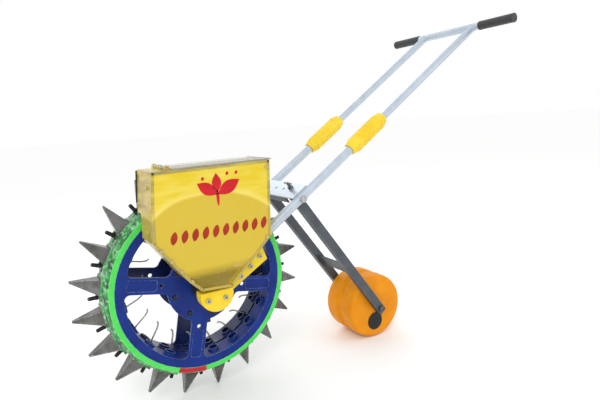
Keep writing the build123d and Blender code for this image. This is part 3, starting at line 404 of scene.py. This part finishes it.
# %% Finishes by slot
FINISH = {
    "galvanised": galvanised_drawn_tube(),
    "zinc_steel": zinc_plate("bright_zinc_plate", "a2a5a4", "bfc2c0", "e4e5e3"),
    "grey_paint": grey_stoving_enamel(),
    "beak_steel": pressed_beak_steel(),
    "black_rubber": ribbed_black_rubber(),
    "clear_lid": clear_smoky_sheet(),
    "yellow_clear": yellow_polycarbonate_sheet("yellow_polycarbonate_sheet", "ceb22c", "dcc016", 0.22, 0.94),
    "yellow_paint": moulded("yellow_enamelled_plate", "e2c312", "f0d328", "fbe98a", 0.25, 2.0, 0.01,
                            shine=0.35),
    "yellow_plastic": moulded("yellow_polypropylene", "e2c01e", "efd03a", "f9e88a", 0.34, 1.6, 0.02),
    "dark_plastic": moulded("black_polypropylene", "17181b", "24262a", "55585e", 0.42, 1.2, 0.05),
    "metering_plastic": moulded("dark_nylon", "24252a", "33353b", "62656c", 0.38, 1.2, 0.04),
    # The blue's pale edge colour 8fa6d8 is a painted highlight on the glossy drum edges.
    "blue_plastic": moulded("blue_glossy_polypropylene", "09246e", "0d3086", "8fa6d8", 0.3, 4.0, 0.006,
                            edge_mm=1.8, shine=0.2),
    "green_plastic": green_tread(),
    "red_plastic": moulded("red_polypropylene", "a81c28", "c22a34", "e88a8a", 0.3, 2.0, 0.04),
    "orange_plastic": moulded("orange_blown_polyethylene", "d98200", "e89500", "f4b030", 0.42, 5.0, 0.01,
                              edge_mm=1.6, shine=0.2),
}
finishes_used = set()
for part in nodes.values():
    for place in part.material_slots:
        place.material = FINISH[place.material.name.split(".")[0]]
        finishes_used.add(place.material.name)
print("finishes used:", sorted(finishes_used))

# %% Parts whose finish differs from the rest of their slot
OVERRIDES = {
    "hub_bolts": zinc_plate("black_oxide_steel", "2c2d30", "3a3b3e", "6c6e72"),
    "roller_axle": zinc_plate("dark_zinc_plate", "505357", "63666a", "9a9da0"),
    "adjust_screw": zinc_plate("weathered_zinc_plate", "6e7274", "84888a", "b5b8ba"),
    # The hopper tub gets a darker, greyer-olive copy of the hopper sheet.
    "hopper_tub": yellow_polycarbonate_sheet("greyer_olive_polycarbonate_sheet", "b09a48", "b2963c", 0.45, 0.85),
    # The far drum half is a darker copy of the blue, painted shade for the shadow inside the drum.
    "wheel_half_left": moulded("blue_polypropylene_painted_shade", "101a44", "182a66", "8792b4", 0.24, 4.0, 0.006,
                               shine=0.4),
    "hopper_bolts": moulded("pale_nylon_rivet", "a8975a", "bfae70", "e0d49c", 0.4, 2.0, 0.02),
}
for name, material in OVERRIDES.items():
    for place in nodes[name].material_slots:
        place.material = material
print("parts with a finish of their own:", sorted(OVERRIDES))

# %% [markdown]
# ## How the small pieces are made
# Three short functions make nearly every added piece. One joins corner points and faces into a mesh.
# One turns a profile about an axis, as a lathe does, for ribs, boots and domes. One sweeps a round bead
# along a path, for welds and edging. Each piece then rides on the body that it is fixed to, so that it
# follows the joints.

# %% Mesh, lathe and bead


def finish_piece(piece, material, body):
    """Puts a piece in the scene, with its material and the body it rides on."""
    bpy.context.scene.collection.objects.link(piece)
    piece.data.materials.append(material)
    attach(piece, body)
    return piece


def mesh_piece(name, corners, faces, material, body, slot, smooth=False):
    mesh = bpy.data.meshes.new(name)
    mesh.from_pydata([tuple(c) for c in corners], [], faces)
    shape = bmesh.new()
    shape.from_mesh(mesh)
    bmesh.ops.recalc_face_normals(shape, faces=shape.faces)
    shape.to_mesh(mesh)
    shape.free()
    for face in mesh.polygons:
        face.use_smooth = smooth
    return finish_piece(bpy.data.objects.new(name, mesh), material, body)


def turned(profile, base, axis, sides=32):
    """Corners and faces of a profile of (distance along the axis, radius) turned about that axis."""
    axis = axis.normalized()
    side = axis.orthogonal().normalized()
    third = axis.cross(side)
    corners = []
    for distance, radius in profile:
        for i in range(sides):
            angle = 2 * pi * i / sides
            corners.append(base + axis * distance + (side * cos(angle) + third * sin(angle)) * radius)
    faces = []
    for ring in range(len(profile) - 1):
        for i in range(sides):
            j = (i + 1) % sides
            faces.append((ring * sides + i, ring * sides + j, (ring + 1) * sides + j, (ring + 1) * sides + i))
    faces.append(tuple(range(sides)))
    faces.append(tuple(range((len(profile) - 1) * sides, len(profile) * sides)))
    return corners, faces


def joined(shapes):
    """Several (corners, faces) as one."""
    corners, faces = [], []
    for more_corners, more_faces in shapes:
        shift = len(corners)
        corners += more_corners
        faces += [tuple(shift + i for i in face) for face in more_faces]
    return corners, faces


def bead(name, paths, thick, material, body, closed=True):
    """A round bead swept along each path; a path is a list of (point, share of the thickness)."""
    curve = bpy.data.curves.new(name, "CURVE")
    curve.dimensions = "3D"
    curve.bevel_depth = thick / 2
    curve.bevel_resolution = 3
    curve.use_fill_caps = True
    for path in paths:
        line = curve.splines.new("POLY")
        line.points.add(len(path) - 1)
        line.use_cyclic_u = closed
        for point, (spot, share) in zip(line.points, path):
            point.co = (*spot, 1.0)
            point.radius = share
    return finish_piece(bpy.data.objects.new(name, curve), material, body)


print("shapes ready")

# %% [markdown]
# ## Grip ribs
# A soft grip is moulded with ribs so that a wet glove doesn't slip. They could be a bump in the
# material, but their outline shows against the light, so they are real rings: a profile that waves
# gently between the two end flanges, turned about the crossbar.

# %% Ribs on both grips
RIB_PITCH = 7 * MM
RIB_HIGH = 0.7 * MM
for side in ("right", "left"):
    low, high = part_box("grip_" + side)
    grip_radius = (high.z - low.z) / 2 - 0.8 * MM
    y_start, y_end = low.y + 6 * MM, high.y - 6 * MM
    steps = int((y_end - y_start) / RIB_PITCH) * 8
    profile = [(0.0, grip_radius - 1 * MM)]
    for i in range(steps + 1):
        along = (y_end - y_start) * i / steps
        wave = 0.5 - 0.5 * cos(2 * pi * i / 8)
        profile.append((along, grip_radius + 0.15 * MM + RIB_HIGH * wave ** 2))
    profile.append((y_end - y_start, grip_radius - 1 * MM))
    corners, faces = turned(profile, Vector((CROSSBAR.x, y_start, CROSSBAR.z)), Vector((0, 1, 0)), 40)
    mesh_piece("grip_ribs_" + side, corners, faces, FINISH["black_rubber"], "handle", "black_rubber", True)
print("ribs per grip:", steps // 8)

# %% [markdown]
# ## Weld beads
# The two handle tubes are coped, which means that their ends are cut to sit on the round crossbar, and
# are then welded all round. Where two equal round bars meet, the seam has a simple formula: at an angle
# round the tube, the seam stands back from the bar's centre by the bar's radius times the cosine. The
# bead is rippled, one ripple for each dip of the filler rod.

# %% Beads where the tubes meet the crossbar
TUBE_WAY = Vector((cos(TUBE_TILT), 0, sin(TUBE_TILT)))
TUBE_UP = Vector((-sin(TUBE_TILT), 0, cos(TUBE_TILT)))
BAR_RADIUS = (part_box("crossbar")[1].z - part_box("crossbar")[0].z) / 2
WELD_RIPPLES = 24
weld_paths = []
for side in ("right", "left"):
    spot = Vector((CROSSBAR.x, middle("upper_tube_" + side).y, CROSSBAR.z))
    path = []
    for i in range(72):
        angle = 2 * pi * i / 72
        back = -BAR_RADIUS * abs(cos(angle))
        point = spot + TUBE_WAY * back + Vector((0, BAR_RADIUS * cos(angle), 0))
        point += TUBE_UP * BAR_RADIUS * sin(angle)
        path.append((point, 1.0 + 0.25 * sin(WELD_RIPPLES * angle)))
    weld_paths.append(path)
bead("crossbar_welds", weld_paths, 2.6 * MM, FINISH["galvanised"], "handle")
print("weld beads:", len(weld_paths))

# %% [markdown]
# ## Screws with a driver recess
# The cap and the arm of the hub bracket are held by button-head screws. The engineering model has plain
# discs, which are right for their size. Here each disc gets a low dome and a dark cross in the black
# oxide finish that stands up through the dome: painted shade for a cross recess, because the dark cross
# is what tells the eye that this is a screw and not a rivet.

# %% Domes and painted-shade recess crosses on the bracket screws


def islands(name):
    """The separate solids in a part, as a list of (lowest, highest) corners."""
    shape = bmesh.new()
    shape.from_mesh(nodes[name].data)
    bmesh.ops.remove_doubles(shape, verts=shape.verts, dist=0.01 * MM)
    found, seen = [], set()
    for first in shape.verts:
        if first.index in seen:
            continue
        group, waiting = [], [first]
        seen.add(first.index)
        while waiting:
            vert = waiting.pop()
            group.append(vert.co.copy())
            for link in vert.link_edges:
                other = link.other_vert(vert)
                if other.index not in seen:
                    seen.add(other.index)
                    waiting.append(other)
        low = Vector([min(p[i] for p in group) for i in range(3)])
        high = Vector([max(p[i] for p in group) for i in range(3)])
        found.append((low, high))
    shape.free()
    return found


HEAD_DOME = 1.2 * MM
RECESS_TOP = HEAD_DOME * 1.1
DOME_STEPS = 6
domes, recess_shade_marks = [], []
for low, high in islands("bracket_screws"):
    spot = (low + high) / 2
    radius = (high.x - low.x) / 2
    front = Vector((spot.x, low.y, spot.z))
    angles = [pi / 2 * i / DOME_STEPS for i in range(DOME_STEPS + 1)]
    profile = [(HEAD_DOME * sin(a), radius * 0.98 * cos(a) + 0.2 * MM) for a in angles]
    domes.append(turned(profile, front, Vector((0, -1, 0)), 28))
    # A dark cross in the black oxide finish stands up through each dome: painted shade for the cross recess.
    for turn in (pi / 4, 3 * pi / 4):
        way = Vector((cos(turn), 0, sin(turn)))
        wide = Vector((-sin(turn), 0, cos(turn)))
        arms = []
        for depth in (0, -RECESS_TOP):
            for a, b in ((-1, -1), (1, -1), (1, 1), (-1, 1)):
                arms.append(front + way * a * radius * 0.62 + wide * b * 0.75 * MM + Vector((0, depth, 0)))
        walls = [(0, 1, 5, 4), (1, 2, 6, 5), (2, 3, 7, 6), (3, 0, 4, 7)]
        recess_shade_marks.append((arms, [(0, 1, 2, 3), (4, 5, 6, 7)] + walls))
mesh_piece("screw_domes", *joined(domes), FINISH["zinc_steel"], "frame", "zinc_steel", True)
mesh_piece("screw_recess_painted_shade", *joined(recess_shade_marks), OVERRIDES["hub_bolts"], "frame", "zinc_steel")
print("bracket screws:", len(domes))

# %% [markdown]
# ## Tappet boots
# Each flap has a short steel stub that the ground or a cam pushes to open it. On the real machine a
# black rubber boot covers the stub. The hinge of every flap is listed in the record, so the boot's
# place follows from the hinge: the stub leaves it at a fixed angle to the radius.

# %% A boot on each flap's stub
PIN_RADIAL, PIN_ALONG = 221.0, 34.5
STUB_RADIAL, STUB_ALONG = 31.0, 6.5
HINGE_LEAD = atan2(PIN_ALONG, PIN_RADIAL)
STUB_LEAN = atan2(STUB_ALONG, STUB_RADIAL)
hinges = {joint["child"]: Vector(joint["pos_m"]) for joint in frame["joints"] if "pos_m" in joint}
BOOT = [(11.0, 4.6), (12.0, 5.4), (14.5, 5.4), (15.5, 4.8), (27.0, 4.6), (30.5, 4.3), (32.3, 3.2),
        (32.9, 1.2)]
for name in FLAPS:
    hinge = hinges[name]
    bearing = atan2(hinge.z - AXLE.z, hinge.x - AXLE.x) - HINGE_LEAD + STUB_LEAN
    way = Vector((cos(bearing), 0, sin(bearing)))
    start_at = Vector((hinge.x, 0, hinge.z))
    corners, faces = turned([(d * MM, r * MM) for d, r in BOOT], start_at, way, 20)
    mesh_piece("boot_" + name[-2:], corners, faces, FINISH["dark_plastic"], name, "dark_plastic", True)
print("boots:", len(FLAPS))

# %% [markdown]
# ## The folded edge and the print on the hopper
# The hopper's side panel is a flat sheet whose edges are folded and glued to the tub. The fold shows as
# a pale, clearer border. The border follows the panel's own outline, which is read from its front face
# and moved inwards. The printed mark is a plain sprout over a row of seeds, cut from thin red film.

# %% Pale border around the panel
PANEL_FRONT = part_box("hopper_panel")[0].y
BORDER = 6.5 * MM
rim = {}
for vert in nodes["hopper_panel"].data.vertices:
    if vert.co.y < PANEL_FRONT + 0.05 * MM:
        rim[(round(vert.co.x / MM, 1), round(vert.co.z / MM, 1))] = Vector((vert.co.x, 0, vert.co.z))
panel_mid = middle("hopper_panel")
outline = sorted(rim.values(), key=lambda p: atan2(p.z - panel_mid.z, p.x - panel_mid.x))
inner = []
for i, point in enumerate(outline):
    before, after = outline[i - 1], outline[(i + 1) % len(outline)]
    run = (after - before).normalized()
    inner.append(point + Vector((-run.z, 0, run.x)) * BORDER)
lift = Vector((0, PANEL_FRONT - 0.7 * MM, 0))
count = len(outline)
ground = Vector((0, PANEL_FRONT + 0.4 * MM, 0))
corners = [p + lift for p in outline] + [p + lift for p in inner]
corners += [p + ground for p in outline] + [p + ground for p in inner]
faces = []
for i in range(count):
    j = (i + 1) % count
    faces.append((i, j, count + j, count + i))
    faces.append((i, j, 2 * count + j, 2 * count + i))
    faces.append((count + i, count + j, 3 * count + j, 3 * count + i))
    faces.append((2 * count + i, 2 * count + j, 3 * count + j, 3 * count + i))
PALE_SHEET = yellow_polycarbonate_sheet("pale_folded_polycarbonate", "a99f70", "9c9060", 0.75, 0.75)
mesh_piece("panel_border", corners, faces, PALE_SHEET, "frame", "yellow_clear")
print("corners in the panel's outline:", count)

# %% Sprout and seeds printed on the panel
PRINT_DEEP = 0.15 * MM


def leaf(x, z, long, wide, lean, blunt=1.0):
    """A leaf or a seed on the panel: a pointed oval, long by wide, its foot at x, z."""
    way = Vector((sin(lean), 0, cos(lean)))
    across = Vector((cos(lean), 0, -sin(lean)))
    foot = Vector((AXLE.x + x, PANEL_FRONT - PRINT_DEEP, AXLE.z + z))
    ring = []
    for side, steps in ((1, range(15)), (-1, range(13, 0, -1))):
        for i in steps:
            bulge = across * wide / 2 * sin(pi * i / 14) ** blunt
            ring.append(foot + way * long * i / 14 + bulge * side)
    back = [p + Vector((0, PRINT_DEEP + 0.2 * MM, 0)) for p in ring]
    n = len(ring)
    walls = [(i, (i + 1) % n, n + (i + 1) % n, n + i) for i in range(n)]
    return ring + back, [tuple(range(n)), tuple(range(2 * n - 1, n - 1, -1))] + walls


RED_FILM = moulded("red_vinyl_film", "b3101c", "cc1826", "dd5560", 0.3, 2.0, 0.01)
BROWN_FILM = moulded("brick_red_vinyl_film", "8f2410", "a83014", "c0604a", 0.3, 2.0, 0.01)
sprout = [leaf(20 * MM, 206 * MM, 38 * MM, 7 * MM, 0.0, 0.5),
          leaf(20 * MM, 232 * MM, 54 * MM, 27 * MM, -1.0), leaf(20 * MM, 232 * MM, 62 * MM, 29 * MM, 1.1),
          leaf(20 * MM, 236 * MM, 44 * MM, 22 * MM, 0.0)]
for x, z in ((-14, 266), (44, 272), (66, 272)):
    sprout.append(leaf(x * MM, z * MM, 10 * MM, 7 * MM, 0.5))
mesh_piece("sprout_print", *joined(sprout), RED_FILM, "frame", "yellow_clear")
SEEDS = 10
seeds = [leaf((-92 + 216 * i / (SEEDS - 1)) * MM, 136 * MM, 30 * MM, 15 * MM, 0.3, 0.7) for i in range(SEEDS)]
mesh_piece("seed_row_print", *joined(seeds), BROWN_FILM, "frame", "yellow_clear")
print("printed seeds:", SEEDS)

# %% [markdown]
# ## Edging and end plugs
# The front of the lid gets a soft strip, as a sheet edge that a hand may touch, and a dark strip runs
# down the hopper's back corner. The open lower ends of the rectangular fork legs are closed by pushed-in
# plastic plugs, which keep water out. Each plug is placed by looking for the end of the leg along its length.
# The upper ends stay open, because they swing close under the cross plate.

# %% Lid edging and corner strip
lid_low, lid_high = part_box("lid")
STRIP = 2.4 * MM
EDGE_IN = 1.4 * MM
EDGE_HIGH = AXLE.z + 298.6 * MM
tub_low, tub_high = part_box("hopper_tub")
front_edge = [((lid_low.x + 14 * MM, lid_low.y + EDGE_IN, EDGE_HIGH), 1.0),
              ((lid_high.x - STRIP / 2, lid_low.y + EDGE_IN, EDGE_HIGH), 1.0),
              ((lid_high.x - STRIP / 2, lid_high.y - EDGE_IN, EDGE_HIGH), 1.0)]
bead("lid_edging", [front_edge], STRIP, FINISH["dark_plastic"], "lid", False)
back_corner = [((tub_low.x + 11.5 * MM, tub_high.y, AXLE.z + 294 * MM), 1.0),
               ((tub_low.x + 4.5 * MM, tub_high.y, AXLE.z + 222 * MM), 1.0)]
bead("corner_strip", [back_corner], 5 * MM, FINISH["dark_plastic"], "frame", False)
print("lid edging from", round(front_edge[0][0][0], 3), "to", round(front_edge[1][0][0], 3))

# %% Plugs in the fork legs
LEG_WAY = (ROLLER - PIVOT).normalized()
LEG_SIDE = Vector((0, 1, 0)).cross(LEG_WAY)
PLUG_RINGS = ((-6, 7.9, 10.4), (0.05, 7.9, 10.4), (0.05, 9.8, 12.3), (1.4, 9.8, 12.3), (2.2, 8.8, 11.3))
for side in ("right", "left"):
    leg = nodes["fork_leg_" + side]
    reach = [(vert.co - PIVOT).dot(LEG_WAY) for vert in leg.data.vertices]
    seat = Vector((PIVOT.x, middle("fork_leg_" + side).y, PIVOT.z)) + LEG_WAY * max(reach)
    corners = []
    for depth, half_y, half_x in PLUG_RINGS:
        for a, b in ((-1, -1), (1, -1), (1, 1), (-1, 1)):
            across = Vector((0, a * half_y * MM, 0)) + LEG_SIDE * b * half_x * MM
            corners.append(seat + LEG_WAY * depth * MM + across)
    faces = [(0, 1, 2, 3), (16, 17, 18, 19)]
    for ring in range(len(PLUG_RINGS) - 1):
        for i in range(4):
            j = (i + 1) % 4
            faces.append((ring * 4 + i, ring * 4 + j, ring * 4 + 4 + j, ring * 4 + 4 + i))
    mesh_piece("leg_plugs_" + side, corners, faces, FINISH["dark_plastic"], "fork", "dark_plastic")
print("leg length in mm:", round((max(reach) - min(reach)) / MM))

# %% [markdown]
# ## Floor, light and camera
# A product like this is lit softly so that its shape reads without hard shadows. The floor is one pale
# sheet, the sky is an even white, and three large lamps shape the object: a key from the front left, a
# weaker fill from the right and a rim light behind. The camera stands at about hip height on the front
# left, tilted slightly, and looks a little down.

# %% Pale floor
floor_mesh = bpy.data.meshes.new("floor")
FLOOR_HALF = 40.0
floor_corners = [(-FLOOR_HALF, -FLOOR_HALF, 0), (FLOOR_HALF, -FLOOR_HALF, 0), (FLOOR_HALF, FLOOR_HALF, 0),
                 (-FLOOR_HALF, FLOOR_HALF, 0)]
floor_mesh.from_pydata(floor_corners, [], [(0, 1, 2, 3)])
floor = bpy.data.objects.new("floor", floor_mesh)
bpy.context.scene.collection.objects.link(floor)
paper, tree, shader = start("pale_matt_paper", {})
tree.links.new(blend_colours(tree, cloud(tree, 300.0), "fbfbfa", "fefefe"), shader.inputs["Base Color"])
tree.links.new(spread(tree, cloud(tree, 90.0), 0.85, 0.95), shader.inputs["Roughness"])
relief(tree, shader, cloud(tree, 4.0), 0.02, rounding(tree, 0.1))
floor_mesh.materials.append(paper)

# %% Even sky and three soft lamps
scene = bpy.context.scene
world = bpy.data.worlds.new("studio")
world.use_nodes = True
world.node_tree.nodes["Background"].inputs["Color"].default_value = tint("ffffff")
world.node_tree.nodes["Background"].inputs["Strength"].default_value = 1.0
scene.world = world
scene.view_settings.view_transform = "Standard"


def lamp(name, spot, target, width, power):
    """A square soft lamp that faces target."""
    light = bpy.data.lights.new(name, "AREA")
    light.size = width
    light.energy = power
    holder = bpy.data.objects.new(name, light)
    holder.location = spot
    holder.rotation_mode = "QUATERNION"
    holder.rotation_quaternion = (target - Vector(spot)).to_track_quat("-Z", "Y")
    scene.collection.objects.link(holder)


centre = (cad_low + cad_high) / 2
lamp("key", (-1.9, -2.3, 2.6), centre, 1.6, 34)
lamp("fill", (2.4, -2.0, 1.6), centre, 2.0, 5)
lamp("rim", (0.8, 2.6, 2.4), centre, 1.8, 16)

# %% Camera
YAW, PITCH, ROLL = 0.547, 0.167, -0.065
STAND = (-0.7028, -1.1394, 0.6779)
camera = bpy.data.objects.new("camera", bpy.data.cameras.new("camera"))
camera.data.lens = 28.57
camera.data.sensor_width = 36.0
ahead = Vector((sin(YAW) * cos(PITCH), cos(YAW) * cos(PITCH), -sin(PITCH)))
level_right = Vector((cos(YAW), -sin(YAW), 0))
level_up = level_right.cross(ahead)
right = level_right * cos(ROLL) + level_up * sin(ROLL)
up = level_up * cos(ROLL) - level_right * sin(ROLL)
facing = Matrix((right, up, -ahead)).transposed().to_4x4()
camera.matrix_world = Matrix.Translation(STAND) @ facing
scene.collection.objects.link(camera)
scene.camera = camera
